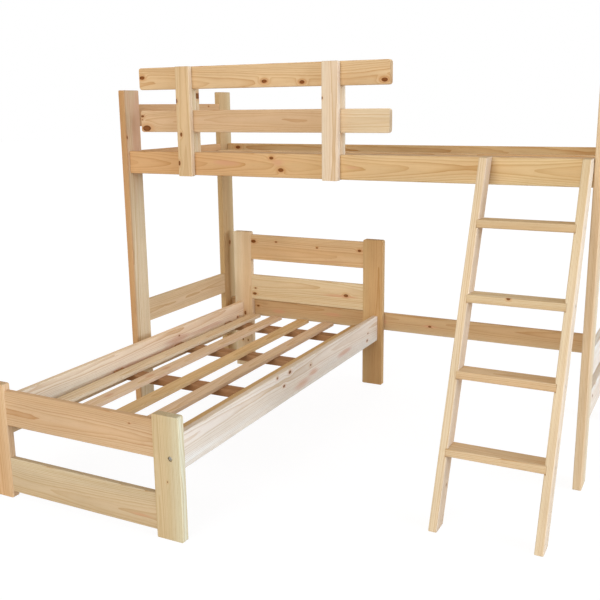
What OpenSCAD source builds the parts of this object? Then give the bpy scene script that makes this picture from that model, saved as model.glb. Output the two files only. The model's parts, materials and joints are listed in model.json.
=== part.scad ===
// L shaped bunk bed in planed pine.
// A loft stands on four plank posts. A guard straddles its front rail, a ladder leans on that
// rail beside the guard, and a single bed stands under the loft and sticks out to the front.
// X runs along the loft, Y runs from the front to the back and Z runs up from the floor.
// The origin is on the floor, at the middle of the whole outline.

/* [Loft frame] */
// Length of the loft over its posts
loft_l = 2255; // [2150:5:2400]
// Depth of the loft over its posts
loft_w = 978; // [956:2:1040]
// Broad face of a loft post
post_w = 118; // [100:1:140]
// Thickness of a loft post
post_t = 34; // [30:1:44]
// Floor to the underside of the bed-height rails
rail_z = 1230; // [1180:2:1250]
// Height of a bed-height rail, on edge
rail_h = 107; // [95:1:125]
// Thickness of the rails, stretchers and end boards
rail_t = 28; // [24:1:32]
// Step from a post's edge in to the long rails
rail_set = 20; // [10:1:26]
// A bed-height rail's top to the guard-height end boards
end_guard_gap = 118; // [80:1:160]
// The guard-height end boards' top to the posts' tops
post_over = 66; // [40:1:120]
// Floor to the underside of the end stretchers
end_stretch_z = 452; // [420:1:520]
// Height of an end stretcher, on edge
end_stretch_h = 116; // [95:1:130]
// Floor to the underside of the extra board at the ladder end
end_low_z = 268; // [120:1:290]
// Floor to the underside of the back stretcher
back_stretch_z = 314; // [280:1:360]
// Height of the back stretcher, on edge
back_stretch_h = 97; // [80:1:120]

/* [Guard] */
// Left end of the loft to the left end of the guard boards
guard_x = 117; // [60:1:160]
// Length of the guard boards
guard_l = 1279; // [1100:1:1300]
// Height of a guard board, on edge
guard_h = 101; // [85:1:110]
// The front rail's top to the middle guard board
guard_gap_low = 93; // [60:1:110]
// The middle guard board to the top one
guard_gap_high = 96; // [70:1:110]
// Board end to the outer edge of an upright
guard_overhang = 225; // [150:1:260]
// Width of an upright
upright_w = 77; // [60:1:90]
// Thickness of an upright
upright_t = 28; // [22:1:34]
// How far the front uprights pass the rail's underside
upright_drop = 4; // [0:1:10]

/* [Ladder] */
// Outside width of the ladder
ladder_w = 421; // [380:1:460]
// Thickness of a stile
stile_t = 33; // [28:1:38]
// Depth of a stile, square to its length
stile_w = 78; // [70:1:84]
// Lean of the stiles from upright, in degrees
lean = 21.2; // [17:0.1:24]
// How far the stiles stand above the rail's top
ladder_over = 4; // [0:1:30]
// Floor to the top of the first rung
rung_z = 290; // [260:1:310]
// Rise from one rung to the next
rung_rise = 273.5; // [260:0.5:280]
// Thickness of a rung
rung_t = 31; // [24:1:34]
// Depth of the housings that hold the rungs
housing = 7; // [5:1:12]

/* [Lower bed] */
// Left end of the loft to the left side of the lower bed
bed_x = 78; // [60:1:120]
// Length of the lower bed over its posts
bed_l = 1984; // [1900:2:2100]
// Width of the lower bed over its posts
bed_w = 954; // [900:1:1020]
// Broad face of a lower bed post
bed_post_w = 118; // [110:1:140]
// Thickness of a lower bed post
bed_post_t = 34; // [30:1:44]
// Height of the foot posts
foot_h = 483; // [475:1:560]
// Height of the head posts
head_h = 826; // [820:1:900]
// Thickness of the foot and head boards
panel_t = 26; // [22:1:30]
// Panel face behind the posts' front face
panel_set = 4; // [0:1:4]
// Height of a foot or head board, on edge
panel_h = 147; // [130:1:150]
// Floor to the underside of the low foot board
foot_low_z = 26; // [20:1:60]
// Floor to the underside of the top foot board
foot_top_z = 311; // [300:1:325]
// Floor to the underside of the middle head board
head_mid_z = 422; // [415:1:440]
// Floor to the underside of the top head board
head_top_z = 663; // [600:1:668]
// Floor to the underside of the side rails
side_z = 259; // [240:1:280]
// Height of a side rail, on edge
side_h = 141; // [125:1:150]
// Thickness of a side rail
side_t = 30; // [26:1:36]
// Post's outer edge to the outer face of a side rail
side_set = 28; // [20:1:36]

/* [Slat bases] */
// Height of a ledger strip
ledger_h = 24; // [18:1:28]
// Depth of a ledger strip
ledger_t = 34; // [30:1:40]
// Thickness of a cross bearer
bearer_t = 32; // [24:1:34]
// Width of a cross bearer
bearer_w = 68; // [50:1:90]
// Thickness of a slat
slat_t = 18; // [14:1:22]
// Width of a slat
slat_w = 68; // [50:1:70]
// Foot posts to the middle of the lower bed's first bearer
bed_bearer_foot = 233; // [180:1:300]
// Middle of the lower bed's last bearer to the head posts
bed_bearer_head = 183; // [150:1:250]
// Loft posts to the middle of the outer bearers
loft_bearer_end = 193.5; // [150:0.5:240]
// Guard's rear uprights to the loft's outer slats
loft_slat_clear = 18.7; // [8:0.1:30]
// Room at each end of a slat
slat_room = 4; // [2:1:10]

/* [Joints and fasteners] */
// Radius on the planed edges
edge_r = 5; // [2:0.5:6]
// Radius on the corners of post tops and guard board ends
end_r = 12; // [6:1:16]
// Radius on the corners of post feet
foot_r = 6; // [3:1:10]
// Length of a tenon
tenon_l = 45; // [30:1:60]
// Thickness of a tenon
tenon_t = 12; // [8:1:14]
// Shoulder above and below a tenon
tenon_step = 14; // [8:1:20]
// Gap round a tenon or a rung in its housing
joint_fit = 0.3; // [0.2:0.1:0.5]
// Gap where a loose unit sits against the loft
seat_gap = 0.3; // [0.2:0.1:0.6]
// Gap between the ladder and the right post
ladder_gap = 2; // [1:0.5:6]
// Floor to the upper of the two small spare holes in the front right post
spare_z = 340; // [300:1:380]
// Diameter of the spare holes
spare_d = 5; // [4:0.5:6]
// Bolt shank diameter
bolt_d = 8; // [6:1:10]
// Bolt head diameter
bolt_head_d = 14; // [13:1:16]
// Bolt head height
bolt_head_h = 6; // [5:1:8]
// Diameter of the recess over a bolt head
recess_d = 20; // [18:1:24]
// Depth of a bolt head below the post's face
bolt_sink = 3; // [1:0.5:4]
// Centre of a lower bed bolt above the side rail's underside
bed_bolt_up = 62; // [50:1:75]
// Cross-dowel nut diameter
nut_d = 14; // [13:1:16]
// Cross-dowel nut length
nut_l = 20; // [16:1:22]
// Rail end to the centre of its nut
nut_in = 45; // [35:1:60]
// Screw shank diameter
screw_d = 5; // [4:0.5:6]
// Screw head diameter
screw_head_d = 10; // [9:0.5:12]
// Grip of a screw in the last piece it enters
screw_grip = 16; // [12:1:18]

/* [Hidden] */

pine = [0.87, 0.72, 0.50];
pine_pale = [0.91, 0.80, 0.62];
pine_dark = [0.76, 0.58, 0.38];
zinc = [0.62, 0.62, 0.60];

cut = 1;              // how far a cutter passes the face that it opens
hole_room = 1;        // a bolt hole's diameter over the bolt's
thread_room = 0.1;    // radial gap between a bolt or screw and what it threads into
soft_fn = 32;         // steps of a full turn on the softened edges
hole_fn = 32;         // steps of a full turn on holes and fasteners
hex_d = 7;            // across the corners of a bolt's key socket
hex_deep = 4;
rungs = 4;            // as many as the rung nodes
bearers = 4;          // as many as each base's bearer nodes
loft_slat_count = 5;

// Places of the loft's outer faces. The lower bed's head end stops at the back stretcher.
right_x = loft_l / 2;
left_x = -right_x;
bed_head_back = loft_w - rail_set - rail_t - seat_gap;
bed_reach = bed_l - bed_head_back;
total_w = loft_w + bed_reach;
back_y = total_w / 2;
front_y = back_y - loft_w;
bed_front_y = -total_w / 2;
rail_front_y = front_y + rail_set;
rail_back_y = back_y - rail_set - rail_t;
rail_top = rail_z + rail_h;
end_guard_z = rail_top + end_guard_gap;
post_h = end_guard_z + rail_h + post_over;
end_in = (post_t - rail_t) / 2;
inner_l = loft_l - 2 * post_t;
inner_left = left_x + post_t;
inner_right = right_x - post_t;

// Guard unit: its boards are as thick as the rail and the fit on both sides of it
guard_left = left_x + guard_x;
guard_mid_z = rail_top + guard_gap_low;
guard_top_z = guard_mid_z + guard_h + guard_gap_high;
guard_board_t = rail_t + 2 * seat_gap;
guard_y = rail_front_y - seat_gap;
upright_x = [guard_left + guard_overhang, guard_left + guard_l - guard_overhang - upright_w];
upright_top = guard_top_z + guard_h;
front_upright_z = rail_z - upright_drop;
rear_upright_z = rail_z + ledger_h + seat_gap;

// Ladder: the back of a stile rests on the rail's rounded top front edge
ladder_right = inner_right - ladder_gap;
ladder_left = ladder_right - ladder_w;
ladder_top = rail_top + ladder_over;
lean_c = cos(lean);
lean_s = sin(lean);
rest_y = rail_front_y + edge_r;
rest_z = rail_top - edge_r;
stile_back = (rest_y * lean_c - rest_z * lean_s) - edge_r - seat_gap;
stile_front = stile_back - stile_w;
function stile_front_y(z) = (stile_front + z * lean_s) / lean_c;

// A rung is level, as deep as a stile is along the level, and flush with it at half its height
rung_d = stile_w / lean_c;
function rung_top(i) = rung_z + (i - 1) * rung_rise;
function rung_mid(i) = rung_top(i) - rung_t / 2;
function rung_front_y(i) = stile_front_y(rung_mid(i));

// Lower bed
bed_left = left_x + bed_x;
bed_right = bed_left + bed_w;
bed_head_y = bed_front_y + bed_l - bed_post_t;
bed_inner_l = bed_l - 2 * bed_post_t;
bed_mid_x = (bed_left + bed_right) / 2;
bed_mid_y = bed_front_y + bed_l / 2;
side_left_x = bed_left + side_set;
side_right_x = bed_right - side_set - side_t;
bed_span = side_right_x - side_left_x - side_t;
bed_bolt_z = side_z + bed_bolt_up;
bed_slat_at = [-332, -188, -10, 148, 330];   // slat centres from the bed's middle, as laid

// Bolt and screw lengths follow what they pass through
recess_deep = bolt_sink + bolt_head_h;
spare_deep = 12;
spare_holes = [[34, 0], [43, 20]];   // in from the post's front edge, and down from the upper hole
bolt_past = 12;       // how far a bolt passes its nut's centre

// A rectangle with rounded corners, from its lower left corner
module soft_rect(a, b, r) {
  translate([r, 0]) square([a - 2 * r, b]);
  translate([0, r]) square([a, b - 2 * r]);
  for (x = [r, a - r], y = [r, b - r]) translate([x, y]) circle(r, $fn = soft_fn);
}

// A planed bar: the four edges along the named axis are rounded
module bar(size, along, r = edge_r) {
  if (along == "x") rotate([90, 0, 90]) linear_extrude(size.x) soft_rect(size.y, size.z, r);
  if (along == "y") translate([0, size.y, 0]) rotate([90, 0, 0])
    linear_extrude(size.y) soft_rect(size.x, size.z, r);
  if (along == "z") linear_extrude(size.z) soft_rect(size.x, size.y, r);
}

// What a saw takes off a square corner to round it, as deep as the board is thick
module corner_cut(r, deep) {
  translate([0, 0, -cut]) linear_extrude(deep + 2 * cut) difference() {
    translate([-cut, -cut]) square(r + cut);
    translate([r, r]) circle(r, $fn = soft_fn);
  }
}

// Four corner cuts on a face of a x b; z runs through the board
module corner_cuts(a, b, r_low, r_high, deep) {
  corner_cut(r_low, deep);
  translate([a, 0, 0]) mirror([1, 0, 0]) corner_cut(r_low, deep);
  translate([0, b, 0]) mirror([0, 1, 0]) corner_cut(r_high, deep);
  translate([a, b, 0]) rotate([0, 0, 180]) corner_cut(r_high, deep);
}

// A plank post: broad face along X, thickness along Y
module plank_post(w, t, h) {
  difference() {
    bar([w, t, h], "z");
    translate([0, t, 0]) rotate([90, 0, 0]) corner_cuts(w, h, foot_r, end_r, t);
  }
}

// A board with a tenon at each end; its length is between the shoulders
module tenon_board(size, along, tenon_off) {
  tenon_h = size.z - 2 * tenon_step;
  bar(size, along);
  if (along == "x") translate([-tenon_l, tenon_off, tenon_step])
    cube([size.x + 2 * tenon_l, tenon_t, tenon_h]);
  if (along == "y") translate([tenon_off, -tenon_l, tenon_step])
    cube([tenon_t, size.y + 2 * tenon_l, tenon_h]);
}

// The pocket for such a tenon: open on the face at 0 and cut toward +Y, or +X if turned
module mortise(board_h) {
  translate([-tenon_t / 2 - joint_fit, -cut, tenon_step - joint_fit])
    cube([tenon_t + 2 * joint_fit, tenon_l + joint_fit + cut, board_h - 2 * tenon_step + 2 * joint_fit]);
}

// A bolt along +Z, its head's outer face at 0
module bolt(post_thickness) {
  shank = bolt_head_h + post_thickness - recess_deep + nut_in + bolt_past;
  difference() {
    union() {
      cylinder(d = bolt_head_d, h = bolt_head_h, $fn = hole_fn);
      cylinder(d = bolt_d, h = shank, $fn = hole_fn);
    }
    translate([0, 0, -cut]) cylinder(d = hex_d, h = hex_deep + cut, $fn = 6);
  }
}

// The hole for a bolt, from the post's outer face along +Z, with its recess
module bolt_hole(post_thickness) {
  translate([0, 0, -cut]) cylinder(d = recess_d, h = recess_deep + cut, $fn = hole_fn);
  translate([0, 0, -cut])
    cylinder(d = bolt_d + hole_room, h = post_thickness + 2 * cut, $fn = hole_fn);
}

// The bolt hole in a rail's end, along +Z from the end
module rail_end_hole() {
  translate([0, 0, -cut])
    cylinder(d = bolt_d + hole_room, h = nut_in + bolt_past + 2 * cut, $fn = hole_fn);
}

// A cross-dowel nut along Z, its threaded hole along X
module nut() {
  difference() {
    translate([0, 0, -nut_l / 2]) cylinder(d = nut_d, h = nut_l, $fn = hole_fn);
    translate([-nut_d / 2 - cut, 0, 0]) rotate([0, 90, 0])
      cylinder(d = bolt_d + 2 * thread_room, h = nut_d + 2 * cut, $fn = hole_fn);
  }
}

// The hole that takes a nut from a rail's inner face, along Z, its mouth upward
module nut_hole(thickness) {
  translate([0, 0, -nut_l / 2 - joint_fit])
    cylinder(d = nut_d + 2 * thread_room, h = thickness, $fn = hole_fn);
}

// A countersunk screw along +Z, its head's face at 0
module screw(len) {
  cone_h = (screw_head_d - screw_d) / 2;
  cylinder(d1 = screw_head_d, d2 = screw_d, h = cone_h, $fn = hole_fn);
  cylinder(d = screw_d, h = len, $fn = hole_fn);
}

module screw_hole(len) {
  cone_h = (screw_head_d - screw_d) / 2;
  wide = screw_d + 2 * thread_room;
  cylinder(d1 = screw_head_d + 2 * thread_room, d2 = wide, h = cone_h, $fn = hole_fn);
  translate([0, 0, -cut]) cylinder(d = wide, h = len + 2 * cut, $fn = hole_fn);
}

// Loft: bolts and nuts of one rail, at both ends
module rail_bolts(y, z) {
  for (s = [-1, 1]) translate([s * (right_x - bolt_sink), y, z]) rotate([0, -s * 90, 0]) bolt(post_t);
}

module rail_nuts(y, z) {
  for (s = [-1, 1]) translate([s * (inner_right - nut_in), y, z]) rotate([-90, 0, 0]) nut();
}

// A long rail between the posts, drilled at both ends. side is 1 when its inner face is at +Y.
module long_rail(y, z, h, side) {
  mid_y = y + rail_t / 2;
  mid_z = z + h / 2;
  color(pine) difference() {
    translate([inner_left, y, z]) bar([inner_l, rail_t, h], "x");
    for (s = [-1, 1]) {
      translate([s * inner_right, mid_y, mid_z]) rotate([0, -s * 90, 0]) rail_end_hole();
      translate([s * (inner_right - nut_in), mid_y, mid_z])
        rotate([-side * 90, 0, 0]) nut_hole(rail_t);
    }
  }
}

// Height and rise of the three end boards that every end frame has
end_boards = [
  [end_stretch_z, end_stretch_h], [rail_z, rail_h], [end_guard_z, rail_h]
];

// One loft post. sx and sy are -1 or 1 for left or right and for front or back.
// boards lists the end boards that enter it, bolts the Y and Z of the bolts through it.
module loft_post(sx, sy, boards, bolts) {
  x = sx < 0 ? left_x : inner_right;
  y = sy < 0 ? front_y : back_y - post_w;
  edge_y = sy < 0 ? y + post_w : y;
  color(pine) difference() {
    translate([x + post_t, y, 0]) rotate([0, 0, 90]) plank_post(post_w, post_t, post_h);
    for (b = boards) translate([x + post_t / 2, edge_y, b[0]])
      rotate([0, 0, sy < 0 ? 180 : 0]) mortise(b[1]);
    for (b = bolts) translate([sx * right_x, b[0], b[1]]) rotate([0, -sx * 90, 0]) bolt_hole(post_t);
  }
}

front_bolts = [[rail_front_y + rail_t / 2, rail_z + rail_h / 2]];
back_bolts = [
  [rail_back_y + rail_t / 2, rail_z + rail_h / 2],
  [rail_back_y + rail_t / 2, back_stretch_z + back_stretch_h / 2]
];
ladder_end_boards = concat(end_boards, [[end_low_z, end_stretch_h]]);

module post_front_left() { loft_post(-1, -1, end_boards, front_bolts); }
module post_front_right() {
  color(pine) difference() {
    loft_post(1, -1, ladder_end_boards, front_bolts);
    for (h = spare_holes) translate([right_x + cut, front_y + h[0], spare_z - h[1]])
      rotate([0, -90, 0]) cylinder(d = spare_d, h = spare_deep + cut, $fn = hole_fn);
  }
}
module post_back_left() { loft_post(-1, 1, end_boards, back_bolts); }
module post_back_right() { loft_post(1, 1, ladder_end_boards, back_bolts); }

module front_rail() { long_rail(rail_front_y, rail_z, rail_h, 1); }
module back_rail() { long_rail(rail_back_y, rail_z, rail_h, -1); }
module back_stretcher() { long_rail(rail_back_y, back_stretch_z, back_stretch_h, -1); }

// An end board between the front and back posts, tenoned into both
module end_board(sx, z, h) {
  x = sx < 0 ? left_x + end_in : right_x - end_in - rail_t;
  color(pine) translate([x, front_y + post_w, z])
    tenon_board([rail_t, loft_w - 2 * post_w, h], "y", (rail_t - tenon_t) / 2);
}

module end_guard_left() { end_board(-1, end_guard_z, rail_h); }
module end_rail_left() { end_board(-1, rail_z, rail_h); }
module end_stretcher_left() { end_board(-1, end_stretch_z, end_stretch_h); }
module end_guard_right() { end_board(1, end_guard_z, rail_h); }
module end_rail_right() { end_board(1, rail_z, rail_h); }
module end_stretcher_right() { end_board(1, end_stretch_z, end_stretch_h); }
module end_low_board_right() { end_board(1, end_low_z, end_stretch_h); }

// The loft's slat base: ledgers on the rails, bearers across them, slats along the bed
module loft_ledger(y) {
  color(pine_dark) translate([inner_left, y, rail_z]) bar([inner_l, ledger_t, ledger_h], "x", edge_r / 2);
}

module loft_ledger_front() { loft_ledger(rail_front_y + rail_t); }
module loft_ledger_back() { loft_ledger(rail_back_y - ledger_t); }

module loft_bearer(i) {
  span = rail_back_y - rail_front_y - rail_t;
  mid = inner_left + loft_bearer_end + (i - 1) * (inner_l - 2 * loft_bearer_end) / (bearers - 1);
  color(pine_dark) translate([mid - bearer_w / 2, rail_front_y + rail_t, rail_z + ledger_h])
    bar([bearer_w, span, bearer_t], "y", edge_r / 2);
}

module loft_bearer_1() { loft_bearer(1); }
module loft_bearer_2() { loft_bearer(2); }
module loft_bearer_3() { loft_bearer(3); }
module loft_bearer_4() { loft_bearer(4); }

module loft_slats() {
  side_room = seat_gap + upright_t + loft_slat_clear;
  first_y = rail_front_y + rail_t + side_room;
  step = (rail_back_y - side_room - slat_w - first_y) / (loft_slat_count - 1);
  color(pine) for (i = [0 : loft_slat_count - 1])
    translate([inner_left + slat_room, first_y + i * step, rail_z + ledger_h + bearer_t])
      bar([inner_l - 2 * slat_room, slat_w, slat_t], "x", edge_r / 2);
}

module loft_bolts() {
  color(zinc) {
    for (b = front_bolts) rail_bolts(b[0], b[1]);
    for (b = back_bolts) rail_bolts(b[0], b[1]);
  }
}

module loft_nuts() {
  color(zinc) {
    for (b = front_bolts) rail_nuts(b[0], b[1]);
    for (b = back_bolts) rail_nuts(b[0], b[1]);
  }
}

// Spacers fill each pair of uprights between the boards, and the low ones rest on the rail
spacer_low_z = rail_top + seat_gap;
spacer_low_h = guard_mid_z - spacer_low_z;
spacer_high_z = guard_mid_z + guard_h;

// Guard screws: one through each board and each spacer of a pair, driven from the rear
guard_screw_l = upright_t + guard_board_t + screw_grip;
guard_rear_y = guard_y + guard_board_t + upright_t;
guard_screw_z = [
  spacer_low_z + spacer_low_h / 2, guard_mid_z + guard_h / 2,
  spacer_high_z + guard_gap_high / 2, guard_top_z + guard_h / 2
];

module guard_screw_holes() {
  for (x = upright_x, z = guard_screw_z)
    translate([x + upright_w / 2, guard_rear_y, z]) rotate([90, 0, 0]) screw_hole(guard_screw_l);
}

module guard_board(z) {
  color(pine) difference() {
    translate([guard_left, guard_y, z]) bar([guard_l, guard_board_t, guard_h], "x");
    translate([guard_left, guard_y + guard_board_t, z]) rotate([90, 0, 0])
      corner_cuts(guard_l, guard_h, end_r, end_r, guard_board_t);
    guard_screw_holes();
  }
}

module guard_upright(x, y, z) {
  color(pine_pale) difference() {
    translate([x, y, z]) bar([upright_w, upright_t, upright_top - z], "z");
    translate([x, y + upright_t, z]) rotate([90, 0, 0])
      corner_cuts(upright_w, upright_top - z, foot_r, foot_r, upright_t);
    guard_screw_holes();
  }
}

module guard_board_top() { guard_board(guard_top_z); }
module guard_board_middle() { guard_board(guard_mid_z); }
module guard_front_upright_left() { guard_upright(upright_x[0], guard_y - upright_t, front_upright_z); }
module guard_front_upright_right() { guard_upright(upright_x[1], guard_y - upright_t, front_upright_z); }
module guard_rear_upright_left() { guard_upright(upright_x[0], guard_y + guard_board_t, rear_upright_z); }
module guard_rear_upright_right() { guard_upright(upright_x[1], guard_y + guard_board_t, rear_upright_z); }

module guard_spacer(x, z, h) {
  color(pine_pale) difference() {
    translate([x, guard_y, z]) bar([upright_w, guard_board_t, h], "z", edge_r / 2);
    guard_screw_holes();
  }
}

module guard_spacer_low_left() { guard_spacer(upright_x[0], spacer_low_z, spacer_low_h); }
module guard_spacer_low_right() { guard_spacer(upright_x[1], spacer_low_z, spacer_low_h); }
module guard_spacer_high_left() { guard_spacer(upright_x[0], spacer_high_z, guard_gap_high); }
module guard_spacer_high_right() { guard_spacer(upright_x[1], spacer_high_z, guard_gap_high); }

module guard_screws() {
  color(zinc) for (x = upright_x, z = guard_screw_z)
    translate([x + upright_w / 2, guard_rear_y, z]) rotate([90, 0, 0]) screw(guard_screw_l);
}

// The level housings for both ends of rung i, open to the front and to the back of the stiles
module rung_housing(i) {
  reach = housing + joint_fit;
  translate([ladder_left + stile_t - reach, rung_front_y(i) - stile_w, rung_top(i) - rung_t - joint_fit])
    cube([ladder_w - 2 * stile_t + 2 * reach, rung_d + 2 * stile_w, rung_t + 2 * joint_fit]);
}

ladder_screw_l = stile_t + 3 * screw_grip;

module ladder_screw_at(i, s) {
  x = s < 0 ? ladder_left : ladder_right;
  translate([x, rung_front_y(i) + rung_d / 2, rung_mid(i)]) rotate([0, -s * 90, 0]) children();
}

// A stile leans back on the rail; its foot and its top are cut level
module stile(x, s) {
  long = (ladder_top + stile_w) / lean_c + stile_w;
  color(pine_pale) difference() {
    intersection() {
      translate([x, stile_front_y(0), 0]) rotate([-lean, 0, 0]) translate([0, 0, -stile_w])
        bar([stile_t, stile_w, long + stile_w], "z");
      translate([x - cut, stile_front_y(0) - stile_w, 0])
        cube([stile_t + 2 * cut, ladder_top + 2 * stile_w, ladder_top]);
    }
    for (i = [1 : rungs]) {
      rung_housing(i);
      ladder_screw_at(i, s) screw_hole(ladder_screw_l);
    }
  }
}

module ladder_stile_left() { stile(ladder_left, -1); }
module ladder_stile_right() { stile(ladder_right - stile_t, 1); }

module rung(i) {
  color(pine_pale) difference() {
    translate([ladder_left + stile_t - housing, rung_front_y(i), rung_top(i) - rung_t])
      bar([ladder_w - 2 * (stile_t - housing), rung_d, rung_t], "x");
    for (s = [-1, 1]) ladder_screw_at(i, s) screw_hole(ladder_screw_l);
  }
}

module ladder_rung_1() { rung(1); }
module ladder_rung_2() { rung(2); }
module ladder_rung_3() { rung(3); }
module ladder_rung_4() { rung(4); }

module ladder_screws() {
  color(zinc) for (i = [1 : rungs], s = [-1, 1]) ladder_screw_at(i, s) screw(ladder_screw_l);
}

// Lower bed posts: broad face to the front, the side rails bolted to their inner faces
side_mid_x = [side_left_x + side_t / 2, side_right_x + side_t / 2];

module bed_post(sx, y, h, boards, end) {
  x = sx < 0 ? bed_left : bed_right - bed_post_w;
  edge_x = sx < 0 ? x + bed_post_w : x;
  panel_mid = y + panel_set + panel_t / 2;
  color(pine) difference() {
    translate([x, y, 0]) plank_post(bed_post_w, bed_post_t, h);
    for (z = boards) translate([edge_x, panel_mid, z]) rotate([0, 0, sx < 0 ? 90 : -90]) mortise(panel_h);
    translate([side_mid_x[sx < 0 ? 0 : 1], end < 0 ? y : y + bed_post_t, bed_bolt_z])
      rotate([end * 90, 0, 0]) bolt_hole(bed_post_t);
  }
}

module foot_post_left() { bed_post(-1, bed_front_y, foot_h, [foot_low_z, foot_top_z], -1); }
module foot_post_right() { bed_post(1, bed_front_y, foot_h, [foot_low_z, foot_top_z], -1); }
module head_post_left() { bed_post(-1, bed_head_y, head_h, [head_mid_z, head_top_z], 1); }
module head_post_right() { bed_post(1, bed_head_y, head_h, [head_mid_z, head_top_z], 1); }

// A foot or head board between two posts
module bed_panel(y, z) {
  color(pine) translate([bed_left + bed_post_w, y + panel_set, z])
    tenon_board([bed_w - 2 * bed_post_w, panel_t, panel_h], "x", (panel_t - tenon_t) / 2);
}

module foot_board_low() { bed_panel(bed_front_y, foot_low_z); }
module foot_board_top() { bed_panel(bed_front_y, foot_top_z); }
module head_board_middle() { bed_panel(bed_head_y, head_mid_z); }
module head_board_top() { bed_panel(bed_head_y, head_top_z); }

// A side rail between the foot and head posts. side is 1 when its inner face is at +X.
module side_rail(x, side) {
  mid_x = x + side_t / 2;
  color(pine) difference() {
    translate([x, bed_front_y + bed_post_t, side_z]) bar([side_t, bed_inner_l, side_h], "y");
    for (e = [-1, 1]) {
      translate([mid_x, bed_mid_y + e * bed_inner_l / 2, bed_bolt_z])
        rotate([e * 90, 0, 0]) rail_end_hole();
      translate([mid_x, bed_mid_y + e * (bed_inner_l / 2 - nut_in), bed_bolt_z])
        rotate([0, side * 90, 0]) nut_hole(side_t);
    }
  }
}

module side_rail_left() { side_rail(side_left_x, 1); }
module side_rail_right() { side_rail(side_right_x, -1); }

module bed_ledger(x) {
  color(pine_dark) translate([x, bed_front_y + bed_post_t, side_z])
    bar([ledger_t, bed_inner_l, ledger_h], "y", edge_r / 2);
}

module bed_ledger_left() { bed_ledger(side_left_x + side_t); }
module bed_ledger_right() { bed_ledger(side_right_x - ledger_t); }

module bed_bearer(i) {
  step = (bed_inner_l - bed_bearer_foot - bed_bearer_head) / (bearers - 1);
  mid = bed_front_y + bed_post_t + bed_bearer_foot + (i - 1) * step;
  color(pine_dark) translate([side_left_x + side_t, mid - bearer_w / 2, side_z + ledger_h])
    bar([bed_span, bearer_w, bearer_t], "x", edge_r / 2);
}

module bed_bearer_1() { bed_bearer(1); }
module bed_bearer_2() { bed_bearer(2); }
module bed_bearer_3() { bed_bearer(3); }
module bed_bearer_4() { bed_bearer(4); }

module bed_slats() {
  slat_y = bed_front_y + bed_post_t + slat_room;
  color(pine) for (x = bed_slat_at)
    translate([bed_mid_x + x - slat_w / 2, slat_y, side_z + ledger_h + bearer_t])
      bar([slat_w, bed_inner_l - 2 * slat_room, slat_t], "y", edge_r / 2);
}

module bed_bolts() {
  color(zinc) for (x = side_mid_x, e = [-1, 1])
    translate([x, bed_mid_y + e * (bed_l / 2 - bolt_sink), bed_bolt_z]) rotate([e * 90, 0, 0])
      bolt(bed_post_t);
}

module bed_nuts() {
  color(zinc) for (x = side_mid_x, e = [-1, 1])
    translate([x, bed_mid_y + e * (bed_inner_l / 2 - nut_in), bed_bolt_z])
      rotate([0, 0, 90]) rotate([90, 0, 0]) nut();
}

post_front_left();
post_front_right();
post_back_left();
post_back_right();
front_rail();
back_rail();
back_stretcher();
end_guard_left();
end_rail_left();
end_stretcher_left();
end_guard_right();
end_rail_right();
end_stretcher_right();
end_low_board_right();
loft_ledger_front();
loft_ledger_back();
loft_bearer_1();
loft_bearer_2();
loft_bearer_3();
loft_bearer_4();
loft_slats();
loft_bolts();
loft_nuts();
guard_board_top();
guard_board_middle();
guard_front_upright_left();
guard_front_upright_right();
guard_rear_upright_left();
guard_rear_upright_right();
guard_spacer_low_left();
guard_spacer_low_right();
guard_spacer_high_left();
guard_spacer_high_right();
guard_screws();
ladder_stile_left();
ladder_stile_right();
ladder_rung_1();
ladder_rung_2();
ladder_rung_3();
ladder_rung_4();
ladder_screws();
foot_post_left();
foot_post_right();
foot_board_low();
foot_board_top();
head_post_left();
head_post_right();
head_board_middle();
head_board_top();
side_rail_left();
side_rail_right();
bed_ledger_left();
bed_ledger_right();
bed_bearer_1();
bed_bearer_2();
bed_bearer_3();
bed_bearer_4();
bed_slats();
bed_bolts();
bed_nuts();
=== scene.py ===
# %% [markdown]
# # An L shaped bunk bed in pine
#
# The bed comes ready made as the frame: sixty named pieces, boards of planed pine and the steel
# fasteners that hold them, each a mesh in its true place. This lesson dresses them. Every board
# gets its own pine, cut from its own imagined log, with growth rings, knots and end grain, and
# the screws and bolts are modelled again with the sockets and recesses that a plain solid lacks.

# %% Load the frame
import json
import math
import random

import bmesh
import bpy
from mathutils import Matrix, Vector


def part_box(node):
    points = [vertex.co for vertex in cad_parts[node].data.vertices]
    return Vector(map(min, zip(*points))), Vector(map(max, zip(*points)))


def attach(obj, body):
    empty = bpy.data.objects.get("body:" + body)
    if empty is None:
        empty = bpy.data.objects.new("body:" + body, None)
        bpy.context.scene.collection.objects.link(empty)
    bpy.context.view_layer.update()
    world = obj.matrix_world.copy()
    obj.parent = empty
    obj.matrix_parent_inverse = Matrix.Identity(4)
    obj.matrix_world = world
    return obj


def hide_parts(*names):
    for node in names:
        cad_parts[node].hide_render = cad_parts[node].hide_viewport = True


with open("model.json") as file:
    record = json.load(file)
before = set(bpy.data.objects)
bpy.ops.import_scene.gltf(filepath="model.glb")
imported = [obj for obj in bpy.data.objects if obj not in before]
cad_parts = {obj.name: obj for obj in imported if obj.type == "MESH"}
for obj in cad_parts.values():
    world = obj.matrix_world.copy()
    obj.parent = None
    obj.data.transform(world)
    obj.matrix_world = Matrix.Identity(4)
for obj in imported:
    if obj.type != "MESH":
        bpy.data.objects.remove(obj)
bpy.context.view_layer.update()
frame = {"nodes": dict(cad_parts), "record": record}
nodes = frame["nodes"]
bodies = {node: body for body, names in frame["record"]["behaviour"]["bodies"].items() for node in names}
bpy.ops.object.select_all(action="DESELECT")

# %% [markdown]
# ## Camera
#
# A photograph of boards gives its own camera away: their long edges run to vanishing points.
# The eye stood about 1.5 m high, to the right of the bed, turned left and tipped a little down.
# A camera looks along its own -Z, so it is tipped up from straight down by 90 degrees plus the
# pitch, then turned by the yaw, and rolled about its line of sight before both.

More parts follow.
